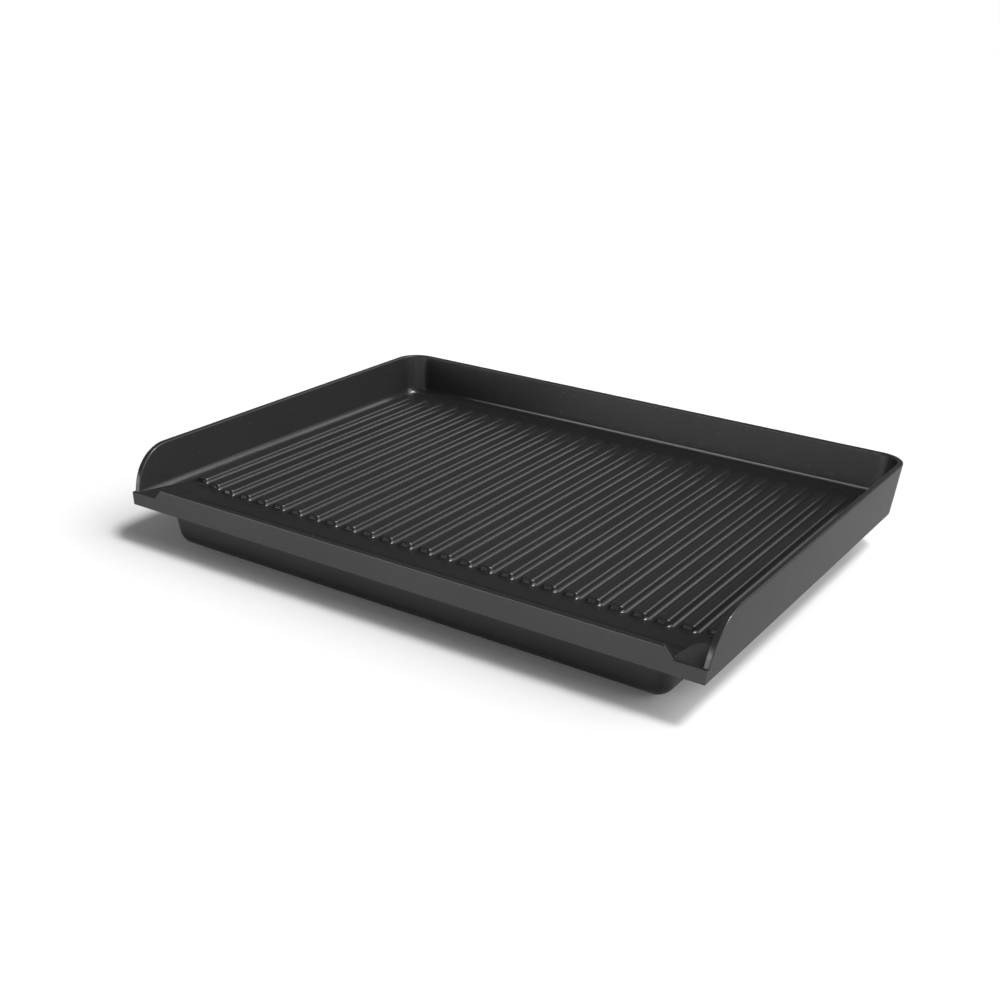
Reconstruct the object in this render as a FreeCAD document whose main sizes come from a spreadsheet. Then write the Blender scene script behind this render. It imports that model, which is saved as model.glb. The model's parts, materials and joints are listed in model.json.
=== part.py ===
import FreeCAD, Part
import math
import os
import re
import Sketcher

# Electric table griddle: a ribbed cast cooking plate with two pouring spouts, heated from below
# by a clamped sheathed element, that rests on and lifts off a moulded base tub.
#
# Row frame: millimetres, +Z up, -Y is the open front of the plate, +X is to the right when one
# stands at the front. The origin is on the table, under the middle of the plate.
# Every piece is drawn in the plate's own frame, with y = 0 at the front of the lip and z = 0 at
# the plate's underside, and its Placement carries it to the row frame.

doc = FreeCAD.newDocument("Griddle")

# ---------------------------------------------------------------- driving dimensions

DIMENSIONS = [
    # the whole object
    ("OverallDepth", 344.6, "plate, front of the lip to the back of the rim"),
    ("UndersideHeight", 29, "table to the plate's underside"),
    ("Overshoot", 20, "how far a cut runs past the material"),
    # cast plate: walls
    ("PlateHalfWidth", 226, "half the width at the underside"),
    ("PlateBack", 340.7, "back of the plate at the underside"),
    ("WallHeight", 38.7, "underside to the rim"),
    ("WallDraft", 5.75, "lean of the walls, degrees"),
    ("WallThickness", 4.2, "thickness of the walls"),
    ("BackCorner", 21, "outer radius of the two back corners"),
    ("FloorThickness", 5, "thickness of the cooking floor between the ribs"),
    ("FootRound", 6, "radius where the walls meet the floor"),
    ("RimRound", 0.9, "radius along the rim"),
    ("NoseLean", 4.4, "how far the wall's front end leans back by the lip's height"),
    ("NoseRadius", 32, "radius that takes the wall's front end up to the rim"),
    # cast plate: lip, spouts and gutter
    ("LipHeight", 16.8, "underside to the top of the front lip"),
    ("LipThickness", 3.6, "thickness of the front lip"),
    ("LipRound", 1.1, "radius along the top of the lip"),
    ("SpoutSill", 9.3, "underside to the sill of each pouring spout"),
    ("SpoutOuter", 199, "half width of the lip's full height"),
    ("SpoutInner", 205.5, "half width at which each spout's sill starts"),
    ("RampInner", 203, "inner edge of the ramp up to each spout"),
    ("RampShort", 36, "ramp's reach behind the lip, at its inner edge"),
    ("RampLong", 49, "ramp's reach behind the lip, at the wall"),
    ("GutterFloor", 2.4, "underside to the gutter's floor"),
    ("GutterFlat", 27, "where the gutter's floor starts to rise"),
    ("GutterStep", 29.6, "top of the gutter's steep back edge"),
    ("GutterStepHeight", 3.8, "underside to the top of that edge"),
    ("GutterBack", 40, "where the slope behind the gutter reaches the cooking floor"),
    ("GutterRound", 4, "radius at the foot and at the top of the gutter's back edge"),
    # cast plate: ribs
    ("RibCount", 27, "number of ribs"),
    ("RibPitch", 16.05, "middle to middle of the ribs"),
    ("RibHeight", 4.2, "ribs above the cooking floor"),
    ("RibHalfWidth", 5.2, "half width of a rib at the floor"),
    ("RibDraft", 13.5, "lean of the ribs' sides, degrees"),
    ("RibFront", 43.6, "front end of the ribs at the floor"),
    ("RibBack", 314.5, "back end of the ribs at the floor"),
    ("RibCorner", 3.3, "radius of the four corners of each rib at the floor"),
    ("RibTopRound", 1.8, "radius along the top of each rib"),
    ("RibFootRound", 3, "radius at the foot of each rib"),
    ("EndRibSetback", 6.5, "how much shorter the outermost ribs are at the front"),
    ("NextRibSetback", 2.5, "how much shorter the next ribs are at the front"),
    # heating element and the track that holds it
    ("ElementRadius", 3.25, "sheath"),
    ("ElementDrop", 3.6, "underside down to the middle of the sheath"),
    ("ElementBend", 20, "middle radius of the bends"),
    ("LegOuter", 166, "outer legs, half width"),
    ("LegMiddle", 96, "middle legs, half width"),
    ("LegInner", 26, "inner legs and terminals, half width"),
    ("ElementFront", 55, "front run"),
    ("ElementTurn", 110, "inner front runs"),
    ("ElementRear", 250, "rear runs"),
    ("ElementEnd", 296, "ends of the sheath"),
    ("TrackHalfWidth", 7.5, "half the width of the cast track"),
    ("TrackHeight", 7, "underside down to the foot of the track"),
    ("GrooveHalfWidth", 3.5, "half the width of the track's groove"),
    ("GrooveRoof", 0.3, "underside down to the roof of the groove"),
    ("ClampReach", 11, "leg's middle to each clamp screw"),
    ("ClampHalfLength", 16, "half the length of a clamp bar"),
    ("ClampHalfWidth", 6, "half the width of a clamp bar"),
    ("ClampThickness", 1.6, "thickness of a clamp bar"),
    ("ClampBoss", 4.5, "radius of the boss above each clamp screw"),
    ("OuterClampFront", 100, "front clamps of the outer legs"),
    ("OuterClampRear", 205, "rear clamps of the outer legs"),
    ("MiddleClampY", 180, "clamps of the middle legs"),
    ("InnerClampY", 200, "clamps of the inner legs"),
    # screws
    ("PilotRadius", 1.7, "holes that screws are driven into"),
    ("ShankRadius", 1.6, "screw shanks"),
    ("ClearanceRadius", 2.1, "holes that screws pass through"),
    ("HeadRadius", 3.4, "screw heads"),
    ("HeadHeight", 1.8, "screw heads"),
    ("DriveRadius", 1.6, "hexagon sockets, across corners"),
    ("DriveDepth", 1, "hexagon sockets"),
    ("PilotDepth", 3.5, "blind screw holes, up from the plate's underside"),
    ("ClampScrewTip", 2, "underside up to the tips of the clamp screws"),
    ("FlangeScrewTip", 3, "underside up to the tips of the inlet and guard screws"),
    # probe socket
    ("ProbeHalfWidth", 10, "half the width of the probe's boss"),
    ("ProbeFront", 250, "front end of the probe's boss"),
    ("ProbeBossDrop", 18, "underside down to the foot of the probe's boss"),
    ("ProbeRadius", 4, "radius of the probe's bore"),
    ("ProbeDepth", 60, "depth of the probe's bore"),
    ("InletDrop", 12, "underside down to the line of the bore and the pins"),
    # power inlet
    ("InletFront", 306, "front face of the inlet block"),
    ("InletBack", 318.6, "back face of the inlet block"),
    ("InletHalfWidth", 46, "half the width of the inlet block"),
    ("InletHeight", 20, "underside down to the foot of the inlet block"),
    ("InletSlot", 10.3, "half the width of the block's slot for the probe's boss"),
    ("InletHeadDepth", 2.8, "counterbores for the inlet screws"),
    ("InletScrewX", 39, "inlet screws, half the spacing"),
    ("PinRadius", 3, "plug pins"),
    ("PinRootRadius", 3.6, "plug pins, inside the inlet block"),
    ("PinEnd", 335, "tips of the plug pins"),
    ("PinTipRound", 1.8, "radius of the tips of the plug pins"),
    ("PinTailRadius", 2, "threaded tails of the plug pins"),
    ("PinTailEnd", 299.5, "ends of the threaded tails"),
    ("PinFit", 0.05, "gap around the pins"),
    ("ColdPinRadius", 1.6, "cold pins that leave the sheath"),
    ("SealRadius", 3.5, "end seals"),
    ("SealLength", 3.5, "end seals"),
    ("LinkThickness", 1.5, "brass links"),
    ("LinkHalfWidth", 5, "brass links"),
    ("LinkTop", 0.8, "underside down to the top of a link"),
    ("LinkFoot", 16.5, "underside down to the foot of a link"),
    ("NutRadius", 4, "link nuts, across corners"),
    ("NutThickness", 2.5, "link nuts"),
    # guard around the plug pins
    ("GuardHalfWidth", 44, "outside"),
    ("GuardTop", 0.3, "underside down to the guard's roof"),
    ("GuardFoot", 19.5, "underside down to the guard's foot"),
    ("GuardEnd", 337, "back end of the guard"),
    ("GuardSheet", 1.2, "thickness of its sheet"),
    ("GuardRound", 3, "radius of its corners"),
    ("GuardFlange", 54, "half width over its two flanges"),
    ("GuardScrewX", 49, "guard screws, half the spacing"),
    ("GuardScrewY", 328, "guard screws"),
    ("GuardPinHole", 4.6, "holes around the pins and the probe's bore"),
    # base tub
    ("TubHalfWidth", 201.7, "half the width at the top"),
    ("TubFront", 7.7, "front at the top"),
    ("TubBack", 316.2, "back at the top"),
    ("TubTop", 1.5, "underside of the plate down to the tub's edge"),
    ("TubFoot", 27.5, "underside of the plate down to the tub's underside"),
    ("TubDraft", 11.5, "lean of the tub's sides, degrees"),
    ("TubCorner", 14.5, "radius of the corners"),
    ("TubFootRound", 12, "radius around the underside"),
    ("TubBevel", 5, "bevel around the inside of the floor"),
    ("TubWall", 2.8, "thickness of the sides"),
    ("TubFloor", 2.5, "thickness of the floor"),
    ("NotchHalfWidth", 48, "half the width of the notch for the inlet"),
    ("NotchFoot", 21.2, "underside of the plate down to the foot of the notch"),
    ("PostX", 180, "posts, half the spacing"),
    ("PostFront", 30, "front posts"),
    ("PostBack", 290, "back posts"),
    ("PostRadius", 9, "posts"),
    ("PadRadius", 7, "rest pads"),
    ("PadHole", 4.3, "hole in each rest pad and dimple in each post"),
    ("PadGap", 0.1, "rest pads to the plate"),
    ("PegRadius", 4, "locating pegs under the plate"),
    ("PegHeight", 2.2, "locating pegs under the plate"),
    ("DimpleDepth", 1.3, "dimple in each post"),
    ("FootX", 160, "feet, half the spacing"),
    ("FootFront", 50, "front feet"),
    ("FootBack", 268, "back feet"),
    ("FootRadius", 9, "feet"),
    ("FootRecess", 2.5, "how deep each foot sits in the tub"),
    ("FootFit", 0.15, "gap around each foot"),
    ("FootBossRadius", 12, "bosses above the feet"),
    ("FootBossHeight", 4, "bosses above the feet"),
    ("FootBore", 2.3, "depth of the counterbore in each foot"),
    ("FootEdge", 0.6, "radius around the foot of each foot"),
    ("FootScrewGap", 1.5, "tips of the foot screws down from the tops of their holes' bosses"),
    # reflector tray
    ("ReflectorHalfWidth", 165, "half the width"),
    ("ReflectorFront", 42, "front edge"),
    ("ReflectorBack", 244, "back edge"),
    ("ReflectorSheet", 0.8, "thickness of its sheet"),
    ("ReflectorRim", 4.8, "height of its turned-up edge"),
    ("ReflectorCorner", 10, "radius of its corners"),
    ("ReflectorLift", 5, "bosses that carry the reflector, above the tub's floor"),
    ("ReflectorBoss", 5, "radius of those bosses"),
    ("ReflectorScrewX", 130, "outer reflector screws"),
    ("ReflectorScrewFront", 62, "front reflector screws"),
    ("ReflectorScrewBack", 224, "back reflector screws"),
]

sizes = doc.addObject("Spreadsheet::Sheet", "Sizes")
for row, (alias, value, note) in enumerate(DIMENSIONS, start=1):
    sizes.set(f"A{row}", note)
    sizes.set(f"B{row}", str(value))
    sizes.setAlias(f"B{row}", alias)
doc.recompute()


# ---------------------------------------------------------------- drawing helpers

def formula(text):
    """A formula in the sheet's names, as an expression of the document."""
    return re.sub(r"[A-Z]\w+", lambda name: "Sizes." + name.group(), text)


def bind(item, prop, text):
    item.setExpression(prop, formula(text))


def number(text):
    """What a formula comes to now."""
    return float(scratch.evalExpression(formula(text)))


scratch = doc.addObject("App::FeaturePython", "Formulas")


def new_body(label):
    """An empty body that stands in the plate's frame."""
    body = doc.addObject("PartDesign::Body", label)
    body.Label = label
    seat(body)
    return body


def seat(item):
    bind(item, "Placement.Base.y", "-OverallDepth / 2")
    bind(item, "Placement.Base.z", "UndersideHeight")


def origin_item(body, role):
    return next(item for item in body.Origin.OriginFeatures if item.Role == role)


def new_sketch(body, name, role, offset="0"):
    """A sketch on one of the body's own planes, moved along the plane's normal by offset."""
    sketch = body.newObject("Sketcher::SketchObject", name)
    sketch.AttachmentSupport = [(origin_item(body, role), "")]
    sketch.MapMode = "FlatFace"
    bind(sketch, "AttachmentOffset.Base.z", offset)
    return sketch


def hold(sketch, kind, geometry, point, text):
    """Ties one coordinate of a sketched point to the sheet."""
    index = sketch.addConstraint(Sketcher.Constraint(kind, -1, 1, geometry, point, number(text)))
    sketch.setExpression(f"Constraints[{index}]", formula(text))


def outline(sketch, corners):
    """A closed outline of straight edges through the corners, given as pairs of formulas."""
    points = [FreeCAD.Vector(number(x), number(y), 0) for x, y in corners]
    first = sketch.GeometryCount
    count = len(points)
    for index in range(count):
        edge = Part.LineSegment(points[index], points[(index + 1) % count])
        sketch.addGeometry(edge, False)
    for index in range(count):
        following = first + (index + 1) % count
        sketch.addConstraint(Sketcher.Constraint("Coincident", first + index, 2, following, 1))
        hold(sketch, "DistanceX", first + index, 1, corners[index][0])
        hold(sketch, "DistanceY", first + index, 1, corners[index][1])


def circle(sketch, x, y, radius):
    centre = FreeCAD.Vector(number(x), number(y), 0)
    index = sketch.addGeometry(Part.Circle(centre, FreeCAD.Vector(0, 0, 1), number(radius)), False)
    hold(sketch, "DistanceX", index, 3, x)
    hold(sketch, "DistanceY", index, 3, y)
    held = sketch.addConstraint(Sketcher.Constraint("Radius", index, number(radius)))
    sketch.setExpression(f"Constraints[{held}]", formula(radius))


def extrude(body, kind, name, sketch, length, taper="0", symmetric=False, reverse=False):
    feature = body.newObject("PartDesign::" + kind, name)
    feature.Profile = sketch
    feature.SideType = "Symmetric" if symmetric else "One side"
    feature.Reversed = reverse
    bind(feature, "Length", length)
    bind(feature, "TaperAngle", taper)
    doc.recompute()
    return feature


def pad(body, name, sketch, length, **options):
    return extrude(body, "Pad", name, sketch, length, **options)


def pocket(body, name, sketch, length, **options):
    """A cut, which has to take something away."""
    before = body.Shape.Volume
    feature = extrude(body, "Pocket", name, sketch, length, **options)
    if body.Shape.Volume > before - 0.5:
        raise RuntimeError(name + " cuts nothing")
    return feature


def round_edges(body, name, radius, wanted):
    """Rounds every edge of the body that the test picks out."""
    base = body.Tip
    picked = [f"Edge{index}" for index, edge in enumerate(base.Shape.Edges, start=1) if wanted(edge)]
    feature = body.newObject("PartDesign::Fillet", name)
    feature.Base = (base, picked)
    bind(feature, "Radius", radius)
    doc.recompute()
    return feature


def repeat(body, name, feature, role, pitch, count):
    """Copies a feature along one of the body's own axes."""
    row = body.newObject("PartDesign::LinearPattern", name)
    row.Originals = [feature]
    row.Direction = (origin_item(body, role), [""])
    row.Mode = "Spacing"
    bind(row, "Offset", pitch)
    bind(row, "Occurrences", count)
    body.Tip = row
    doc.recompute()
    return row


def mirror(body, name, features):
    """Copies features to the other side of the middle plane x = 0."""
    feature = body.newObject("PartDesign::Mirrored", name)
    feature.Originals = features
    feature.MirrorPlane = (origin_item(body, "YZ_Plane"), [""])
    body.Tip = feature
    doc.recompute()
    return feature


def circles(sketch, places, radius):
    for x, y in places:
        circle(sketch, x, y, radius)


def rectangle(sketch, left, right, low, high):
    outline(sketch, [(left, low), (right, low), (right, high), (left, high)])


def rounded_rectangle(sketch, left, right, low, high, radius):
    """A closed rectangle with one radius at its four corners."""
    corners = [(left, low, 1, 1), (right, low, -1, 1), (right, high, -1, -1), (left, high, 1, -1)]
    turn = number(radius)
    ends = []
    for x, y, inward_x, inward_y in corners:
        along_x = (f"({x}) + ({inward_x}) * ({radius})", y)
        along_y = (x, f"({y}) + ({inward_y}) * ({radius})")
        ends.append((along_y, along_x) if inward_x == inward_y else (along_x, along_y))
    for index in range(4):
        start = ends[index][1]
        end = ends[(index + 1) % 4][0]
        first = FreeCAD.Vector(number(start[0]), number(start[1]), 0)
        last = FreeCAD.Vector(number(end[0]), number(end[1]), 0)
        sketch.addGeometry(Part.LineSegment(first, last), False)
        for point, (x, y) in ((1, start), (2, end)):
            hold(sketch, "DistanceX", index, point, x)
            hold(sketch, "DistanceY", index, point, y)
    for index, (x, y, inward_x, inward_y) in enumerate(corners):
        centre = FreeCAD.Vector(number(x) + inward_x * turn, number(y) + inward_y * turn, 0)
        quarter = math.pi / 2
        whole = Part.Circle(centre, FreeCAD.Vector(0, 0, 1), turn)
        arc = Part.ArcOfCircle(whole, (index + 2) * quarter, (index + 3) * quarter)
        added = sketch.addGeometry(arc, False)
        sketch.addConstraint(Sketcher.Constraint("Coincident", (index + 3) % 4, 2, added, 1))
        sketch.addConstraint(Sketcher.Constraint("Coincident", index, 1, added, 2))
        hold(sketch, "DistanceX", added, 3, f"({x}) + ({inward_x}) * ({radius})")


def hexagon(sketch, x, y, radius):
    """A regular hexagon around (x, y), given the radius of its corners."""
    corners = []
    for turn in range(6):
        corners.append((f"({x}) + {radius} * cos({60 * turn})", f"({y}) + {radius} * sin({60 * turn})"))
    outline(sketch, corners)


def bent_path(sketch, corners, bend):
    """An open run along x and y through the corners, with one radius at every bend."""
    radius = number(bend)
    points = [FreeCAD.Vector(number(x), number(y), 0) for x, y in corners]
    starts = [corners[0]]
    ends = []
    steps = [(points[index + 1] - points[index]).normalize() for index in range(len(points) - 1)]
    for index in range(1, len(points) - 1):
        x, y = corners[index]
        arriving = steps[index - 1]
        leaving = steps[index]
        ends.append((f"({x}) - ({arriving.x:.0f}) * {bend}", f"({y}) - ({arriving.y:.0f}) * {bend}"))
        starts.append((f"({x}) + ({leaving.x:.0f}) * {bend}", f"({y}) + ({leaving.y:.0f}) * {bend}"))
    ends.append(corners[-1])
    for start, end in zip(starts, ends):
        first = FreeCAD.Vector(number(start[0]), number(start[1]), 0)
        last = FreeCAD.Vector(number(end[0]), number(end[1]), 0)
        index = sketch.addGeometry(Part.LineSegment(first, last), False)
        hold(sketch, "DistanceX", index, 1, start[0])
        hold(sketch, "DistanceY", index, 1, start[1])
        hold(sketch, "DistanceX", index, 2, end[0])
        hold(sketch, "DistanceY", index, 2, end[1])
    for index in range(len(starts) - 1):
        corner = points[index + 1]
        arriving = steps[index] * radius
        leaving = steps[index + 1] * radius
        centre = corner - arriving + leaving
        middle = centre + (arriving - leaving).normalize() * radius
        bend_arc = Part.Arc(corner - arriving, middle, corner + leaving)
        arc = sketch.addGeometry(bend_arc, False)
        forward = (sketch.getPoint(arc, 1) - (corner - arriving)).Length < 0.01
        sketch.addConstraint(Sketcher.Constraint("Coincident", index, 2, arc, 1 if forward else 2))
        sketch.addConstraint(Sketcher.Constraint("Coincident", index + 1, 1, arc, 2 if forward else 1))
        held = sketch.addConstraint(Sketcher.Constraint("Radius", arc, radius))
        sketch.setExpression(f"Constraints[{held}]", formula(bend))


def sweep(body, kind, name, profile, spine):
    feature = body.newObject("PartDesign::" + kind, name)
    feature.Profile = profile
    feature.Spine = (spine, [""])
    doc.recompute()
    return feature


def near(value, target, margin=0.05):
    return abs(value - target) < margin


def lies_at(edge, height):
    """Whether an edge stays at one height."""
    box = edge.BoundBox
    return near(box.ZMin, height) and near(box.ZMax, height)


# ---------------------------------------------------------------- places that several pieces share

ELEMENT_PATH = [("-LegInner", "ElementEnd"), ("-LegInner", "ElementTurn"),
                ("-LegMiddle", "ElementTurn"), ("-LegMiddle", "ElementRear"),
                ("-LegOuter", "ElementRear"), ("-LegOuter", "ElementFront"),
                ("LegOuter", "ElementFront"), ("LegOuter", "ElementRear"),
                ("LegMiddle", "ElementRear"), ("LegMiddle", "ElementTurn"),
                ("LegInner", "ElementTurn"), ("LegInner", "ElementEnd")]
CLAMPS = [("-LegOuter", "OuterClampFront"), ("-LegOuter", "OuterClampRear"),
          ("-LegMiddle", "MiddleClampY"), ("-LegInner", "InnerClampY"),
          ("LegInner", "InnerClampY"), ("LegMiddle", "MiddleClampY"),
          ("LegOuter", "OuterClampRear"), ("LegOuter", "OuterClampFront")]
CLAMP_SCREWS = [(f"{x} {side} ClampReach", y) for x, y in CLAMPS for side in "-+"]
POSTS = {"front_left": ("-PostX", "PostFront"), "front_right": ("PostX", "PostFront"),
         "rear_left": ("-PostX", "PostBack"), "rear_right": ("PostX", "PostBack")}
FEET = {"front_left": ("-FootX", "FootFront"), "front_right": ("FootX", "FootFront"),
        "rear_left": ("-FootX", "FootBack"), "rear_right": ("FootX", "FootBack")}
INLET_SCREWS = [("-InletScrewX", "(InletFront + InletBack) / 2"),
                ("InletScrewX", "(InletFront + InletBack) / 2")]
GUARD_SCREWS = [("-GuardScrewX", "GuardScrewY"), ("GuardScrewX", "GuardScrewY")]
REFLECTOR_SCREWS = [(x, y) for x in ("-ReflectorScrewX", "0", "ReflectorScrewX")
                    for y in ("ReflectorScrewFront", "ReflectorScrewBack")]
SIDES = {"live": "-LegInner", "neutral": "LegInner"}


# ---------------------------------------------------------------- cast cooking plate

def make_griddle_plate():
    body = new_body("griddle_plate")
    add_walls(body)
    add_lip(body)
    add_ribs(body)
    add_underside(body)
    return body


def add_walls(body):
    lean = "tan(WallDraft)"
    floor = number("FloorThickness")
    rim = number("WallHeight")

    # the block that the walls' outer faces bound
    sketch = new_sketch(body, "PlateOutline", "XY_Plane")
    rectangle(sketch, "-PlateHalfWidth", "PlateHalfWidth", "-2 * Overshoot", "PlateBack")
    pad(body, "PlateBlock", sketch, "WallHeight", taper="WallDraft")

    # the cooking tray inside the walls, open at the front
    inner_half = f"(PlateHalfWidth + FloorThickness * {lean} - WallThickness)"
    inner_back = f"(PlateBack + FloorThickness * {lean} - WallThickness)"
    sketch = new_sketch(body, "TrayOutline", "XY_Plane", "FloorThickness")
    rectangle(sketch, "-" + inner_half, inner_half, "-4 * Overshoot", inner_back)
    pocket(body, "Tray", sketch, "WallHeight", taper="WallDraft", reverse=True)

    def tray_corner(edge):
        box = edge.BoundBox
        return box.YMin > number(inner_back) - 1 and near(box.ZMin, floor) and box.ZLength > 20
    round_edges(body, "TrayCorners", "BackCorner - WallThickness", tray_corner)

    def wall_foot(edge):
        box = edge.BoundBox
        return lies_at(edge, floor) and box.YMax > 60 and box.XMin > -number(inner_half) - 0.1
    round_edges(body, "WallFoot", "FootRound", wall_foot)

    # ramps that rise to the two spouts
    near_section = ramp_section(body, "RampInside", "RampInner", "RampShort")
    far_section = ramp_section(body, "RampOutside", "PlateHalfWidth - WallThickness / 2", "RampLong")
    ramp = body.newObject("PartDesign::AdditiveLoft", "Ramp")
    ramp.Profile = near_section
    ramp.Sections = [far_section]
    ramp.Ruled = True
    doc.recompute()
    mirror(body, "Ramps", [ramp])

    def back_corner(edge):
        box = edge.BoundBox
        return box.YMin > number("PlateBack") - 1 and near(box.ZMin, 0) and box.ZLength > 20
    round_edges(body, "BackCorners", "BackCorner", back_corner)

    # the front ends of the walls lean back from the lip and sweep up to the rim
    top = "WallHeight + Overshoot"
    sketch = new_sketch(body, "NoseOutline", "YZ_Plane")
    outline(sketch, [("-5 * Overshoot", "-Overshoot"), ("0", "-Overshoot"), ("0", "0"),
                     (f"NoseLean / LipHeight * ({top})", top), ("-5 * Overshoot", top)])
    pocket(body, "FrontCut", sketch, "4 * PlateHalfWidth", symmetric=True)

    def nose_corner(edge):
        box = edge.BoundBox
        return lies_at(edge, rim) and box.YLength < 0.1 and box.YMax < 60
    round_edges(body, "Noses", "NoseRadius", nose_corner)

    def rim_edge(edge):
        return lies_at(edge, rim) and edge.BoundBox.YMax > 60
    round_edges(body, "Rim", "RimRound", rim_edge)


def ramp_section(body, name, offset, reach):
    """Where the ramp is cut by an upright plane along y."""
    sketch = new_sketch(body, name, "YZ_Plane", offset)
    outline(sketch, [("LipThickness / 2", "FloorThickness / 2"), (reach, "FloorThickness / 2"),
                     (reach, "FloorThickness"), ("LipThickness / 2", "SpoutSill")])
    return sketch


def add_lip(body):
    # gutter between the ramps, with a slope behind it up to the cooking floor
    sketch = new_sketch(body, "GutterProfile", "YZ_Plane")
    outline(sketch, [("LipThickness / 2", "FloorThickness + Overshoot"), ("LipThickness / 2", "GutterFloor"),
                     ("GutterFlat", "GutterFloor"), ("GutterStep", "GutterStepHeight"),
                     ("GutterBack", "FloorThickness"),
                     ("GutterBack", "FloorThickness + Overshoot")])
    pocket(body, "Gutter", sketch, "2 * RampInner", symmetric=True)

    bends = [("GutterFlat", "GutterFloor"), ("GutterStep", "GutterStepHeight")]

    def gutter_rise(edge):
        box = edge.BoundBox
        return box.XLength > 1 and any(near(box.YMin, number(y)) and near(box.YMax, number(y))
                                       and lies_at(edge, number(z)) for y, z in bends)
    round_edges(body, "GutterRise", "GutterRound", gutter_rise)

    # lip across the front, lower at the two spouts
    foot = "PlateHalfWidth"
    edge_of_sill = "PlateHalfWidth + SpoutSill * tan(WallDraft)"
    sketch = new_sketch(body, "LipProfile", "XZ_Plane")
    outline(sketch, [("-" + foot, "0"), (foot, "0"), (edge_of_sill, "SpoutSill"),
                     ("SpoutInner", "SpoutSill"), ("SpoutOuter", "LipHeight"),
                     ("-SpoutOuter", "LipHeight"), ("-SpoutInner", "SpoutSill"),
                     (f"-({edge_of_sill})", "SpoutSill")])
    pad(body, "Lip", sketch, "LipThickness", reverse=True)

    def lip_top(edge):
        box = edge.BoundBox
        front = near(box.YMin, 0) and near(box.YMax, 0)
        inside = near(box.YMin, number("LipThickness")) and near(box.YMax, number("LipThickness"))
        return (front or inside) and near(box.ZMax, number("LipHeight")) and box.ZMin > number("SpoutSill") - 1
    round_edges(body, "LipEdge", "LipRound", lip_top)


def add_ribs(body):
    """A row of tapered ribs about the middle of the plate, the two at each end shorter at the front."""
    last_full = (int(number("RibCount")) - 1) // 2 - 2
    rib = add_rib(body, "Rib", f"-{last_full} * RibPitch", "RibFront")
    repeat(body, "Ribs", rib, "X_Axis", "RibPitch", "RibCount - 4")
    short_ribs = [add_rib(body, "NextRib", f"{last_full + 1} * RibPitch", "RibFront + NextRibSetback"),
                  add_rib(body, "EndRib", f"{last_full + 2} * RibPitch", "RibFront + EndRibSetback")]
    mirror(body, "ShortRibs", short_ribs)
    floor = number("FloorThickness")
    top = number("FloorThickness + RibHeight")
    row = number("RibPitch * RibCount / 2")

    def in_row(edge):
        box = edge.BoundBox
        return box.YMin > number("RibFront") - 0.1 and box.YMax < number("RibBack") + 0.1 \
            and max(abs(box.XMin), abs(box.XMax)) < row

    def rib_top(edge):
        return lies_at(edge, top) and in_row(edge)
    round_edges(body, "RibTops", "RibTopRound", rib_top)

    def rib_foot(edge):
        return lies_at(edge, floor) and in_row(edge)
    round_edges(body, "RibFeet", "RibFootRound", rib_foot)


def add_rib(body, name, middle, front):
    sketch = new_sketch(body, name + "Outline", "XY_Plane", "FloorThickness")
    rounded_rectangle(sketch, f"{middle} - RibHalfWidth", f"{middle} + RibHalfWidth", front, "RibBack",
                      "RibCorner")
    return pad(body, name, sketch, "RibHeight", taper="-RibDraft")


def add_underside(body):
    # cast track that holds the heating element
    spine = new_sketch(body, "TrackPath", "XY_Plane")
    bent_path(spine, ELEMENT_PATH, "ElementBend")
    profile = new_sketch(body, "TrackProfile", "XZ_Plane", "-ElementEnd")
    rectangle(profile, "-LegInner - TrackHalfWidth", "-LegInner + TrackHalfWidth", "-TrackHeight", "GrooveRoof")
    sweep(body, "AdditivePipe", "Track", profile, spine)
    # bosses above the clamp screws, pegs that locate the plate and the boss around the probe
    sketch = new_sketch(body, "ClampBossOutline", "XY_Plane")
    circles(sketch, CLAMP_SCREWS, "ClampBoss")
    pad(body, "ClampBosses", sketch, "TrackHeight", reverse=True)
    sketch = new_sketch(body, "PegOutline", "XY_Plane")
    circles(sketch, POSTS.values(), "PegRadius")
    pad(body, "Pegs", sketch, "PegHeight", reverse=True)
    sketch = new_sketch(body, "ProbeBossOutline", "XY_Plane")
    rectangle(sketch, "-ProbeHalfWidth", "ProbeHalfWidth", "ProbeFront", "InletBack")
    pad(body, "ProbeBoss", sketch, "ProbeBossDrop", reverse=True)
    # groove for the element
    profile = new_sketch(body, "GrooveProfile", "XZ_Plane", "-ElementEnd")
    rectangle(profile, "-LegInner - GrooveHalfWidth", "-LegInner + GrooveHalfWidth",
              "-TrackHeight - Overshoot", "-GrooveRoof")
    sweep(body, "SubtractivePipe", "Groove", profile, spine)
    # bore for the probe and blind holes for the screws
    sketch = new_sketch(body, "ProbeBoreOutline", "XZ_Plane", "-InletBack")
    circle(sketch, "0", "-InletDrop", "ProbeRadius")
    pocket(body, "ProbeBore", sketch, "ProbeDepth", reverse=True)
    sketch = new_sketch(body, "ClampPilotOutline", "XY_Plane", "-TrackHeight")
    circles(sketch, CLAMP_SCREWS, "PilotRadius")
    pocket(body, "ClampPilots", sketch, "TrackHeight + PilotDepth", reverse=True)
    sketch = new_sketch(body, "FlangePilotOutline", "XY_Plane")
    circles(sketch, INLET_SCREWS + GUARD_SCREWS, "PilotRadius")
    pocket(body, "FlangePilots", sketch, "PilotDepth", reverse=True)


# ---------------------------------------------------------------- pieces drawn alike

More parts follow.
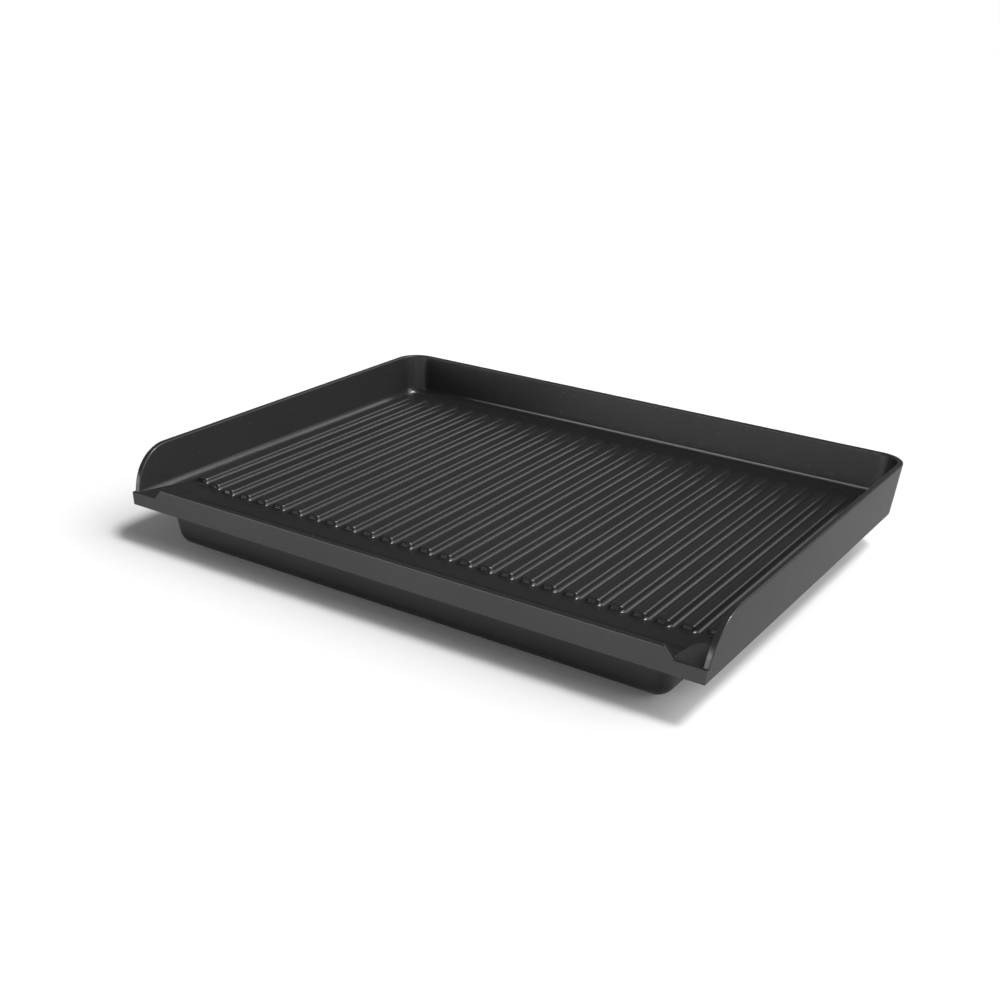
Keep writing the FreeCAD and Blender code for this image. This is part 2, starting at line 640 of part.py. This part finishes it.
def screws(label, places, seat_below, shank_top):
    """A group of socket screws driven upwards: the heads sit under the level seat_below."""
    body = new_body(label)
    body.AllowCompound = True
    sketch = new_sketch(body, label + "_heads", "XY_Plane", f"-({seat_below})")
    circles(sketch, places, "HeadRadius")
    pad(body, label + "_head", sketch, "HeadHeight", reverse=True)
    sketch = new_sketch(body, label + "_shanks", "XY_Plane", f"-({seat_below})")
    circles(sketch, places, "ShankRadius")
    pad(body, label + "_shank", sketch, f"({seat_below}) + ({shank_top})")
    sketch = new_sketch(body, label + "_sockets", "XY_Plane", f"-({seat_below}) - HeadHeight")
    for x, y in places:
        hexagon(sketch, x, y, "DriveRadius")
    pocket(body, label + "_drive", sketch, "DriveDepth", reverse=True)
    return body


def turned(label, x, z, sections, hole=None):
    """A round piece along y: each section is a radius between two distances from the front."""
    body = new_body(label)
    for index, (radius, start, end) in enumerate(sections):
        sketch = new_sketch(body, f"{label}_section_{index}", "XZ_Plane", f"-({end})")
        circle(sketch, x, z, radius)
        pad(body, f"{label}_length_{index}", sketch, f"({end}) - ({start})")
    if hole:
        start = sections[0][1]
        end = sections[-1][2]
        sketch = new_sketch(body, label + "_bore", "XZ_Plane", f"-({start}) + 1")
        circle(sketch, x, z, hole)
        pocket(body, label + "_hole", sketch, f"({end}) - ({start}) + 2")
    return body


# ---------------------------------------------------------------- heating element and its clamps

def make_heating_element():
    body = new_body("heating_element")
    spine = new_sketch(body, "ElementPath", "XY_Plane", "-ElementDrop")
    bent_path(spine, ELEMENT_PATH, "ElementBend")
    profile = new_sketch(body, "SheathProfile", "XZ_Plane", "-ElementEnd")
    circle(profile, "-LegInner", "-ElementDrop", "ElementRadius")
    sweep(body, "AdditivePipe", "Sheath", profile, spine)
    return body


def make_cold_pin(side, x):
    return turned(f"cold_pin_{side}", x, "-ElementDrop",
                  [("ColdPinRadius", "ElementEnd", "InletFront")])


def make_end_seal(side, x):
    return turned(f"end_seal_{side}", x, "-ElementDrop",
                  [("SealRadius", "ElementEnd", "ElementEnd + SealLength")], hole="ColdPinRadius + PinFit")


def make_clamp(index, x, y):
    """A sheet bar under the element's track, with a screw through each end."""
    label = f"element_clamp_{index}"
    body = new_body(label)
    sketch = new_sketch(body, label + "_outline", "XY_Plane", "-TrackHeight")
    rectangle(sketch, f"{x} - ClampHalfLength", f"{x} + ClampHalfLength",
              f"{y} - ClampHalfWidth", f"{y} + ClampHalfWidth")
    pad(body, label + "_bar", sketch, "ClampThickness", reverse=True)
    round_edges(body, label + "_corners", "ClampHalfWidth / 2", lambda edge: edge.BoundBox.ZLength > 1)
    sketch = new_sketch(body, label + "_holes", "XY_Plane", "-TrackHeight - ClampThickness")
    circles(sketch, [(f"{x} - ClampReach", y), (f"{x} + ClampReach", y)], "ClearanceRadius")
    pocket(body, label + "_drilling", sketch, "ClampThickness", reverse=True)
    return body


# ---------------------------------------------------------------- power inlet

def make_inlet_block():
    """Ceramic block behind the element's ends, slotted around the probe's boss."""
    body = new_body("inlet_block")
    sketch = new_sketch(body, "BlockOutline", "XY_Plane")
    rectangle(sketch, "-InletHalfWidth", "InletHalfWidth", "InletFront", "InletBack")
    pad(body, "Block", sketch, "InletHeight", reverse=True)
    sketch = new_sketch(body, "SlotOutline", "XY_Plane")
    rectangle(sketch, "-InletSlot", "InletSlot", "InletFront - 1", "InletBack + 1")
    pocket(body, "Slot", sketch, "ProbeBossDrop + PinFit")
    sketch = new_sketch(body, "PinHoleOutline", "XZ_Plane", "-InletBack")
    circles(sketch, [(x, "-InletDrop") for x in SIDES.values()], "PinRootRadius + PinFit")
    pocket(body, "PinHoles", sketch, "InletBack - InletFront", reverse=True)
    sketch = new_sketch(body, "CounterboreOutline", "XY_Plane", "-InletHeight")
    circles(sketch, INLET_SCREWS, "HeadRadius + PinFit")
    pocket(body, "Counterbores", sketch, "InletHeadDepth", reverse=True)
    sketch = new_sketch(body, "ScrewHoleOutline", "XY_Plane", "-InletHeight")
    circles(sketch, INLET_SCREWS, "ClearanceRadius")
    pocket(body, "ScrewHoles", sketch, "InletHeight", reverse=True)
    return body


def make_plug_pin(side, x):
    pin = turned(f"{side}_pin", x, "-InletDrop",
                 [("PinTailRadius", "PinTailEnd", "InletFront"), ("PinRootRadius", "InletFront", "InletBack"),
                  ("PinRadius", "InletBack", "PinEnd")])
    tip = number("PinEnd")
    round_edges(pin, f"{side}_pin_tip", "PinTipRound", lambda edge: near(edge.BoundBox.YMin, tip))
    return pin


def make_link(side, x):
    """Brass strip from a cold pin to the threaded tail of a plug pin."""
    label = f"{side}_link"
    body = new_body(label)
    sketch = new_sketch(body, label + "_outline", "XZ_Plane", "-InletFront")
    rectangle(sketch, f"{x} - LinkHalfWidth", f"{x} + LinkHalfWidth", "-LinkFoot", "-LinkTop")
    circle(sketch, x, "-ElementDrop", "ColdPinRadius + PinFit")
    circle(sketch, x, "-InletDrop", "PinTailRadius + PinFit")
    pad(body, label + "_strip", sketch, "LinkThickness")
    return body


def make_link_nuts():
    body = new_body("link_nuts")
    body.AllowCompound = True
    sketch = new_sketch(body, "NutOutline", "XZ_Plane", "-InletFront + LinkThickness")
    for x in SIDES.values():
        hexagon(sketch, x, "-InletDrop", "NutRadius")
        circle(sketch, x, "-InletDrop", "PinTailRadius + PinFit")
    pad(body, "Nuts", sketch, "NutThickness")
    return body


def make_inlet_guard():
    """Folded sheet box around the plug pins, which also makes the earth contact."""
    body = new_body("inlet_guard")
    sketch = new_sketch(body, "GuardOutline", "XZ_Plane", "-InletBack")
    rectangle(sketch, "-GuardHalfWidth", "GuardHalfWidth", "-GuardFoot", "-GuardTop")
    pad(body, "GuardBox", sketch, "GuardEnd - InletBack", reverse=True)
    round_edges(body, "GuardCorners", "GuardRound",
                lambda edge: edge.BoundBox.YLength > 5 and edge.BoundBox.ZMax < -10)
    sketch = new_sketch(body, "GuardInside", "XZ_Plane", "-GuardEnd")
    rectangle(sketch, "-GuardHalfWidth + GuardSheet", "GuardHalfWidth - GuardSheet",
              "-GuardFoot + GuardSheet", "-GuardTop - GuardSheet")
    pocket(body, "GuardHollow", sketch, "GuardEnd - InletBack - GuardSheet", reverse=True)
    sketch = new_sketch(body, "FlangeOutline", "XY_Plane")
    rectangle(sketch, "-GuardFlange", "GuardFlange", "InletBack", "GuardEnd")
    pad(body, "Flanges", sketch, "GuardSheet + GuardTop", reverse=True)
    sketch = new_sketch(body, "GuardPinHoles", "XZ_Plane", "-InletBack")
    circles(sketch, [(x, "-InletDrop") for x in ("-LegInner", "0", "LegInner")], "GuardPinHole")
    pocket(body, "GuardPiercing", sketch, "GuardSheet")
    sketch = new_sketch(body, "GuardScrewHoles", "XY_Plane")
    circles(sketch, GUARD_SCREWS, "ClearanceRadius")
    pocket(body, "GuardDrilling", sketch, "GuardSheet + GuardTop")
    return body


# ---------------------------------------------------------------- base tub and what it carries

def make_base_tub():
    body = new_body("base_tub")
    foot = -number("TubFoot")

    # outside
    sketch = new_sketch(body, "TubOutline", "XY_Plane", "-TubTop")
    rounded_rectangle(sketch, "-TubHalfWidth", "TubHalfWidth", "TubFront", "TubBack", "TubCorner")
    pad(body, "TubBlock", sketch, "TubFoot - TubTop", taper="-TubDraft", reverse=True)
    round_edges(body, "TubFootEdge", "TubFootRound", lambda edge: lies_at(edge, foot))

    # hollow, with a bevel around its floor
    bevel_depth = "(TubFoot - TubTop - TubFloor - TubBevel)"
    for name, depth, length, taper in [
            ("TubHollow", "0", bevel_depth, "-TubDraft"),
            ("TubHollowFoot", bevel_depth, "TubBevel", "-45")]:
        inset = f"(TubWall + {depth} * tan(TubDraft))"
        sketch = new_sketch(body, name + "Outline", "XY_Plane", f"-TubTop - {depth}")
        rounded_rectangle(sketch, f"-TubHalfWidth + {inset}", f"TubHalfWidth - {inset}",
                          f"TubFront + {inset}", f"TubBack - {inset}", f"TubCorner - {inset}")
        pocket(body, name, sketch, length, taper=taper)

    # notch in the back wall for the inlet
    sketch = new_sketch(body, "NotchOutline", "XZ_Plane", "-TubBack - Overshoot")
    rectangle(sketch, "-NotchHalfWidth", "NotchHalfWidth", "-NotchFoot", "Overshoot")
    pocket(body, "Notch", sketch, "2 * Overshoot", reverse=True)

    # posts under the rest pads, bosses over the feet and bosses under the reflector
    posts = [("PostOutline", POSTS.values(), "PostRadius", "TubFoot - TubTop"),
             ("FootBossOutline", FEET.values(), "FootBossRadius", "TubFloor + FootBossHeight"),
             ("ReflectorBossOutline", REFLECTOR_SCREWS, "ReflectorBoss", "TubFloor + ReflectorLift")]
    for name, places, radius, height in posts:
        sketch = new_sketch(body, name, "XY_Plane", "-TubFoot + TubFloor / 2")
        circles(sketch, places, radius)
        pad(body, name + "Pad", sketch, f"{height} - TubFloor / 2")
    hollows = [("DimpleOutline", POSTS.values(), "PadHole", "-TubTop", "DimpleDepth", False),
               ("ReflectorPilots", REFLECTOR_SCREWS, "PilotRadius", "-TubFoot + TubFloor + ReflectorLift",
                "ReflectorLift", False),
               ("FootRecess", FEET.values(), "FootRadius + FootFit", "-TubFoot", "FootRecess", True),
               ("FootPilots", FEET.values(), "PilotRadius", "-TubFoot + FootRecess",
                "FootBossHeight - 1", True)]
    for name, places, radius, level, depth, upward in hollows:
        sketch = new_sketch(body, name, "XY_Plane", level)
        circles(sketch, places, radius)
        pocket(body, name + "Cut", sketch, depth, reverse=upward)
    return body


def make_rest_pad(corner, place):
    """Silicone washer that the plate rests on."""
    label = f"rest_pad_{corner}"
    body = new_body(label)
    sketch = new_sketch(body, label + "_outline", "XY_Plane", "-TubTop")
    circle(sketch, place[0], place[1], "PadRadius")
    circle(sketch, place[0], place[1], "PadHole")
    pad(body, label + "_washer", sketch, "TubTop - PadGap")
    return body


def make_foot(corner, place):
    """Rubber foot, let into the tub and held by a screw from below."""
    label = f"foot_{corner}"
    body = new_body(label)
    sketch = new_sketch(body, label + "_outline", "XY_Plane", "-UndersideHeight")
    circle(sketch, place[0], place[1], "FootRadius")
    pad(body, label + "_disc", sketch, "UndersideHeight - TubFoot + FootRecess")
    round_edges(body, label + "_edge", "FootEdge", lambda edge: lies_at(edge, -number("UndersideHeight")))
    sketch = new_sketch(body, label + "_counterbore", "XY_Plane", "-UndersideHeight")
    circle(sketch, place[0], place[1], "HeadRadius + 2 * FootFit")
    pocket(body, label + "_bore", sketch, "FootBore", reverse=True)
    sketch = new_sketch(body, label + "_hole", "XY_Plane", "-UndersideHeight")
    circle(sketch, place[0], place[1], "ClearanceRadius")
    pocket(body, label + "_through", sketch, "UndersideHeight", reverse=True)
    return body


def make_reflector_tray():
    """Thin bright tray that throws the element's heat up and shields the tub's floor."""
    body = new_body("reflector_tray")
    level = "-TubFoot + TubFloor + ReflectorLift"
    foot = number(level)
    sketch = new_sketch(body, "ReflectorOutline", "XY_Plane", level)
    rounded_rectangle(sketch, "-ReflectorHalfWidth", "ReflectorHalfWidth",
                      "ReflectorFront", "ReflectorBack", "ReflectorCorner")
    pad(body, "ReflectorBlock", sketch, "ReflectorRim")
    round_edges(body, "ReflectorBend", "ReflectorSheet * 3", lambda edge: lies_at(edge, foot))
    inner_floor = number(f"{level} + ReflectorSheet")
    inset = "ReflectorSheet"
    sketch = new_sketch(body, "ReflectorInside", "XY_Plane", f"{level} + ReflectorRim")
    rounded_rectangle(sketch, f"-ReflectorHalfWidth + {inset}", f"ReflectorHalfWidth - {inset}",
                      f"ReflectorFront + {inset}", f"ReflectorBack - {inset}", f"ReflectorCorner - {inset}")
    pocket(body, "ReflectorHollow", sketch, "ReflectorRim - ReflectorSheet")
    round_edges(body, "ReflectorInnerBend", "ReflectorSheet * 2", lambda edge: lies_at(edge, inner_floor))
    sketch = new_sketch(body, "ReflectorHoles", "XY_Plane", level)
    circles(sketch, REFLECTOR_SCREWS, "ClearanceRadius")
    pocket(body, "ReflectorDrilling", sketch, "2 * ReflectorSheet", reverse=True)
    return body


def make_reflector_screws():
    """Pan-head screws driven down through the reflector into the tub."""
    body = new_body("reflector_screws")
    body.AllowCompound = True
    seat_level = "-TubFoot + TubFloor + ReflectorLift + ReflectorSheet"
    sketch = new_sketch(body, "ReflectorHeads", "XY_Plane", seat_level)
    circles(sketch, REFLECTOR_SCREWS, "HeadRadius")
    pad(body, "ReflectorHead", sketch, "HeadHeight")
    sketch = new_sketch(body, "ReflectorShanks", "XY_Plane", seat_level)
    circles(sketch, REFLECTOR_SCREWS, "ShankRadius")
    pad(body, "ReflectorShank", sketch, "ReflectorLift", reverse=True)
    sketch = new_sketch(body, "ReflectorSockets", "XY_Plane", f"{seat_level} + HeadHeight")
    for x, y in REFLECTOR_SCREWS:
        hexagon(sketch, x, y, "DriveRadius")
    pocket(body, "ReflectorDrive", sketch, "DriveDepth")
    return body


# ---------------------------------------------------------------- the assembly

pieces = [make_griddle_plate(), make_heating_element(), make_inlet_block(), make_link_nuts(),
          make_inlet_guard(), make_base_tub(), make_reflector_tray(), make_reflector_screws()]
for side, x in SIDES.items():
    pieces += [make_cold_pin(side, x), make_end_seal(side, x), make_plug_pin(side, x), make_link(side, x)]
for index, (x, y) in enumerate(CLAMPS, start=1):
    pieces.append(make_clamp(index, x, y))
for corner, place in POSTS.items():
    pieces.append(make_rest_pad(corner, place))
for corner, place in FEET.items():
    pieces.append(make_foot(corner, place))
pieces.append(screws("clamp_screws", CLAMP_SCREWS, "TrackHeight + ClampThickness", "ClampScrewTip"))
pieces.append(screws("inlet_screws", INLET_SCREWS, "InletHeight - InletHeadDepth", "FlangeScrewTip"))
pieces.append(screws("guard_screws", GUARD_SCREWS, "GuardSheet + GuardTop", "FlangeScrewTip"))
pieces.append(screws("foot_screws", list(FEET.values()), "UndersideHeight - FootBore",
                     "-TubFoot + FootRecess + FootBossHeight - FootScrewGap"))
doc.recompute()

faults = [item.Name for item in doc.Objects if {"Invalid", "Error"} & set(item.State)]
faults += [piece.Label for piece in pieces if piece.Shape.isNull() or not piece.Shape.isValid()]
if faults:
    raise RuntimeError("not sound: " + ", ".join(faults))
os.makedirs("parts", exist_ok=True)
for piece in pieces:
    piece.Shape.exportStep(f"parts/{piece.Label}.step")
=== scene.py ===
import json
import math

import bpy
from mathutils import Matrix, Vector

# Looks of the electric griddle: materials for every piece, floor, lights and camera.
# Metres; +X right, +Y back, +Z up, origin on the table under the middle of the plate.

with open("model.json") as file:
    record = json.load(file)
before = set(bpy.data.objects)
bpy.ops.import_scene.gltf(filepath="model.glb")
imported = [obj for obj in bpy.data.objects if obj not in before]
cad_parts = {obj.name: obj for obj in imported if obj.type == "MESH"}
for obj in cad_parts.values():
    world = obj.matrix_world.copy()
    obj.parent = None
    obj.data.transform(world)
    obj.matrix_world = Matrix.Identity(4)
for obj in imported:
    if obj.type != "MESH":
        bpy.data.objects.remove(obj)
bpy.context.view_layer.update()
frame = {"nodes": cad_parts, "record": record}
scene = bpy.context.scene

# camera: place in metres, angles in degrees, lens in millimetres
CAMERA_PLACE = (0.4924, -0.8187, 0.4087)
CAMERA_YAW = -32.156
CAMERA_PITCH = 21.532
CAMERA_ROLL = 1.97
FOCAL_LENGTH = 50.0
SENSOR_WIDTH = 36.0

FLOOR_HALF = 40.0

# studio: white up to GLOW_TOP, dim above DIM_FROM, both as the sine of the angle above the horizon
GLOW_TOP = 0.15
DIM_FROM = 0.32
DIM_LEVEL = 0.08

# even lights: name, direction towards the light, strength, spread in degrees
SUNS = [
    ("overhead", (0.38, 0.11, 0.92), 1.9, 14.0),
    ("key", (0.75, 0.25, 0.6), 2.2, 60.0),
]

# soft boxes: name, place, point they face, width and height, power in watts
SOFT_BOXES = [
    ("back", (0.5, 2.4, 1.7), (0.0, 0.0, 0.0), (1.6, 0.8), 11.0),
    ("front", (-1.4, -2.6, 0.45), (0.0, 0.1, 0.0), (2.5, 0.8), 26.0),
]


# ---------------------------------------------------------------- node materials

class Surface:
    """A node material around one Principled shader."""

    def __init__(self, name):
        self.material = bpy.data.materials.new(name)
        self.material.use_nodes = True
        self.tree = self.material.node_tree
        self.shader = self.tree.nodes["Principled BSDF"]
        self.place = self.tree.nodes.new("ShaderNodeTexCoord").outputs["Object"]

    def link(self, source, target):
        self.tree.links.new(source, target)

    def node(self, kind, **settings):
        made = self.tree.nodes.new(kind)
        for key, value in settings.items():
            setattr(made, key, value)
        return made

    def noise(self, scale, detail=2.0, roughness=0.5, distortion=0.0, stretch=None):
        """Noise over the object's own space; scale counts patches per metre."""
        made = self.node("ShaderNodeTexNoise")
        made.inputs["Scale"].default_value = scale
        made.inputs["Detail"].default_value = detail
        made.inputs["Roughness"].default_value = roughness
        made.inputs["Distortion"].default_value = distortion
        source = self.place
        if stretch:
            mapping = self.node("ShaderNodeMapping")
            mapping.inputs["Scale"].default_value = stretch
            self.link(self.place, mapping.inputs["Vector"])
            source = mapping.outputs["Vector"]
        self.link(source, made.inputs["Vector"])
        return made.outputs["Fac"]

    def ramp(self, source, stops):
        """Maps a value to values or colours given at stops (position, value)."""
        made = self.node("ShaderNodeValToRGB")
        points = made.color_ramp.elements
        while len(points) < len(stops):
            points.new(0.5)
        for point, (position, value) in zip(points, stops):
            point.position = position
            colour = (value, value, value) if isinstance(value, float) else value
            point.color = (*colour, 1.0)
        self.link(source, made.inputs["Fac"])
        return made.outputs["Color"]

    def mix(self, share, first, second):
        """Colours, blended by a share from 0 to 1."""
        made = self.node("ShaderNodeMix", data_type="RGBA")
        self.link(share, made.inputs["Factor"])
        for socket, value in ((made.inputs[6], first), (made.inputs[7], second)):
            if isinstance(value, tuple):
                socket.default_value = (*value, 1.0)
            else:
                self.link(value, socket)
        return made.outputs[2]

    def edges(self, low=0.52, high=0.62):
        """1 along convex edges, 0 on flats."""
        pointiness = self.node("ShaderNodeNewGeometry").outputs["Pointiness"]
        return self.ramp(pointiness, [(low, 0.0), (high, 1.0)])

    def bump(self, heights):
        """Stacks bumps, each a height source with its depth in metres."""
        normal = None
        for height, depth in heights:
            made = self.node("ShaderNodeBump")
            made.inputs["Strength"].default_value = 1.0
            made.inputs["Distance"].default_value = depth
            self.link(height, made.inputs["Height"])
            if normal:
                self.link(normal, made.inputs["Normal"])
            normal = made.outputs["Normal"]
        self.link(normal, self.shader.inputs["Normal"])

    def set(self, **values):
        """Even values, straight on the shader; names use _ for a space."""
        for name, value in values.items():
            socket = self.shader.inputs[name.replace("_", " ")]
            socket.default_value = value


def coated_casting():
    """Dark grey, slightly metallic non-stick coating on a die casting."""
    surface = Surface("coated_casting")
    patches = surface.noise(9.0, detail=4.0, roughness=0.6)
    speckle = surface.noise(2600.0, detail=2.0, roughness=0.7)
    orange_peel = surface.noise(420.0, detail=3.0, roughness=0.55)
    base = surface.ramp(patches, [(0.3, (0.059, 0.059, 0.059)), (0.7, (0.067, 0.067, 0.067))])
    # lighter along convex edges: partly wear of the coating, partly a painted highlight on the rib and rim
    # edges
    worn_and_highlit = (0.09, 0.09, 0.09)
    colour = surface.mix(surface.ramp(surface.edges(), [(0.0, 0.0), (1.0, 0.3)]), base, worn_and_highlit)
    flecks = surface.ramp(speckle, [(0.62, 0.0), (0.74, 0.3)])
    surface.link(surface.mix(flecks, colour, (0.09, 0.09, 0.09)), surface.shader.inputs["Base Color"])
    sheen = surface.ramp(orange_peel, [(0.25, 0.2), (0.75, 0.28)])
    surface.link(sheen, surface.shader.inputs["Roughness"])
    surface.bump([(orange_peel, 0.00003), (speckle, 0.00001)])
    surface.set(Metallic=0.65, Specular_IOR_Level=0.3, Specular_Tint=(0.33, 0.33, 0.33, 1.0))
    return surface.material


def moulding(name, dark, light, roughness, grain, specular=0.5):
    """Fine-grained moulded plastic or rubber."""
    surface = Surface(name)
    patches = surface.noise(14.0, detail=3.0)
    texture = surface.noise(grain, detail=2.0, roughness=0.6)
    colour = surface.ramp(patches, [(0.3, dark), (0.7, light)])
    scuffed = tuple(channel * 1.8 for channel in light)
    surface.link(surface.mix(surface.ramp(surface.edges(), [(0.0, 0.0), (1.0, 0.4)]), colour, scuffed),
                 surface.shader.inputs["Base Color"])
    rough = surface.ramp(texture, [(0.3, roughness - 0.06), (0.7, roughness + 0.06)])
    surface.link(rough, surface.shader.inputs["Roughness"])
    surface.bump([(texture, 0.00004)])
    surface.set(Specular_IOR_Level=specular)
    return surface.material


def metal(name, dark, light, roughness, streaks, metallic=1.0):
    """Metal with fine streaks along one direction and darker stained patches."""
    surface = Surface(name)
    brushed = surface.noise(60.0, detail=4.0, roughness=0.65, stretch=streaks)
    stains = surface.noise(35.0, detail=4.0, roughness=0.6)
    colour = surface.ramp(brushed, [(0.3, dark), (0.7, light)])
    aged = tuple(channel * 0.75 for channel in dark)
    surface.link(surface.mix(surface.ramp(stains, [(0.5, 0.0), (0.8, 0.4)]), colour, aged),
                 surface.shader.inputs["Base Color"])
    rough = surface.ramp(brushed, [(0.2, roughness - 0.08), (0.8, roughness + 0.1)])
    surface.link(rough, surface.shader.inputs["Roughness"])
    surface.bump([(brushed, 0.00002)])
    surface.set(Metallic=metallic)
    return surface.material


def ceramic():
    """Unglazed off-white block with a fine sintered grain."""
    surface = Surface("ceramic")
    grain = surface.noise(900.0, detail=3.0, roughness=0.6)
    stain = surface.noise(60.0, detail=4.0)
    colour = surface.ramp(stain, [(0.35, (0.78, 0.74, 0.66)), (0.7, (0.66, 0.61, 0.52))])
    surface.link(colour, surface.shader.inputs["Base Color"])
    rough = surface.ramp(grain, [(0.3, 0.62), (0.7, 0.78)])
    surface.link(rough, surface.shader.inputs["Roughness"])
    surface.bump([(grain, 0.00004)])
    return surface.material


def make_materials():
    return {
        "coated_casting": coated_casting(),
        "tub_moulding": moulding("tub_moulding", (0.009, 0.009, 0.0093), (0.013, 0.013, 0.0134), 0.4, 1500.0,
                                 specular=0.3),
        "foot_rubber": moulding("foot_rubber", (0.012, 0.012, 0.012), (0.02, 0.02, 0.02), 0.75, 2200.0),
        "pad_silicone": moulding("pad_silicone", (0.10, 0.10, 0.10), (0.14, 0.14, 0.14), 0.5, 1800.0),
        "ceramic": ceramic(),
        "brass": metal("brass", (0.60, 0.43, 0.19), (0.74, 0.57, 0.28), 0.32, (1.0, 12.0, 1.0)),
        "steel": metal("steel", (0.42, 0.42, 0.41), (0.56, 0.56, 0.55), 0.36, (12.0, 1.0, 1.0)),
        "element_sheath": metal("element_sheath", (0.09, 0.095, 0.085), (0.16, 0.165, 0.15), 0.5,
                                (1.0, 1.0, 1.0)),
        "reflector_sheet": metal("reflector_sheet", (0.70, 0.70, 0.70), (0.82, 0.82, 0.82), 0.25,
                                 (14.0, 1.0, 1.0)),
        "screw_steel": metal("screw_steel", (0.46, 0.47, 0.48), (0.62, 0.63, 0.64), 0.3, (1.0, 1.0, 8.0)),
        "guard_sheet": metal("guard_sheet", (0.44, 0.44, 0.43), (0.58, 0.58, 0.57), 0.34, (14.0, 1.0, 1.0)),
    }


def dress(materials):
    """Gives every CAD node the material of its slot in the record."""
    for part in frame["record"]["subparts"]:
        mesh = frame["nodes"][part["node"]].data
        mesh.materials.clear()
        mesh.materials.append(materials[part["material_slot"]])


# ---------------------------------------------------------------- floor, lights and camera

def make_floor():
    turns = ((-1, -1), (1, -1), (1, 1), (-1, 1))
    corners = [(x * FLOOR_HALF, y * FLOOR_HALF, 0.0) for x, y in turns]
    mesh = bpy.data.meshes.new("floor")
    mesh.from_pydata(corners, [], [(0, 1, 2, 3)])
    floor = bpy.data.objects.new("floor", mesh)
    scene.collection.objects.link(floor)
    surface = Surface("floor")
    tint = surface.noise(3.0)
    surface.link(surface.ramp(tint, [(0.0, (0.90, 0.90, 0.90)), (1.0, (0.92, 0.92, 0.92))]),
                 surface.shader.inputs["Base Color"])
    surface.set(Roughness=0.9, Specular_IOR_Level=0.0)
    mesh.materials.append(surface.material)


def add_light(name, place, target, size, power):
    """A rectangular soft box that faces its target."""
    data = bpy.data.lights.new(name, "AREA")
    data.shape = "RECTANGLE"
    data.size, data.size_y = size
    data.energy = power
    light = bpy.data.objects.new(name, data)
    light.location = place
    light.rotation_euler = (Vector(target) - Vector(place)).to_track_quat("-Z", "Y").to_euler()
    scene.collection.objects.link(light)


def add_sun(name, toward, strength, spread):
    """An even light from one direction, softened over a spread of degrees."""
    data = bpy.data.lights.new(name, "SUN")
    data.energy = strength
    data.angle = math.radians(spread)
    light = bpy.data.objects.new(name, data)
    light.rotation_euler = Vector(toward).to_track_quat("Z", "Y").to_euler()
    scene.collection.objects.link(light)


def make_surroundings():
    """A dim studio, white all around just above the floor's far edge."""
    world = bpy.data.worlds.new("studio")
    world.use_nodes = True
    tree = world.node_tree
    direction = tree.nodes.new("ShaderNodeTexCoord").outputs["Generated"]
    parts = tree.nodes.new("ShaderNodeSeparateXYZ")
    tree.links.new(direction, parts.inputs["Vector"])
    fade = tree.nodes.new("ShaderNodeValToRGB")
    points = fade.color_ramp.elements
    points[0].position = GLOW_TOP
    points[0].color = (1.0, 1.0, 1.0, 1.0)
    points[1].position = DIM_FROM
    points[1].color = (DIM_LEVEL, DIM_LEVEL, DIM_LEVEL, 1.0)
    tree.links.new(parts.outputs["Z"], fade.inputs["Fac"])
    tree.links.new(fade.outputs["Color"], tree.nodes["Background"].inputs["Color"])
    tree.nodes["Background"].inputs["Strength"].default_value = 1.0
    scene.world = world


def make_lights():
    make_surroundings()
    for sun in SUNS:
        add_sun(*sun)
    for soft_box in SOFT_BOXES:
        add_light(*soft_box)


def make_camera():
    data = bpy.data.cameras.new("camera")
    data.lens = FOCAL_LENGTH
    data.sensor_width = SENSOR_WIDTH
    camera = bpy.data.objects.new("camera", data)
    yaw = math.radians(CAMERA_YAW)
    pitch = math.radians(CAMERA_PITCH)
    roll = math.radians(CAMERA_ROLL)
    turn = Matrix.Rotation(-yaw, 4, "Z") @ Matrix.Rotation(math.pi / 2 - pitch, 4, "X")
    camera.matrix_world = Matrix.Translation(CAMERA_PLACE) @ turn @ Matrix.Rotation(roll, 4, "Z")
    scene.collection.objects.link(camera)
    scene.camera = camera


scene.view_settings.view_transform = "Standard"
dress(make_materials())
make_floor()
make_lights()
make_camera()
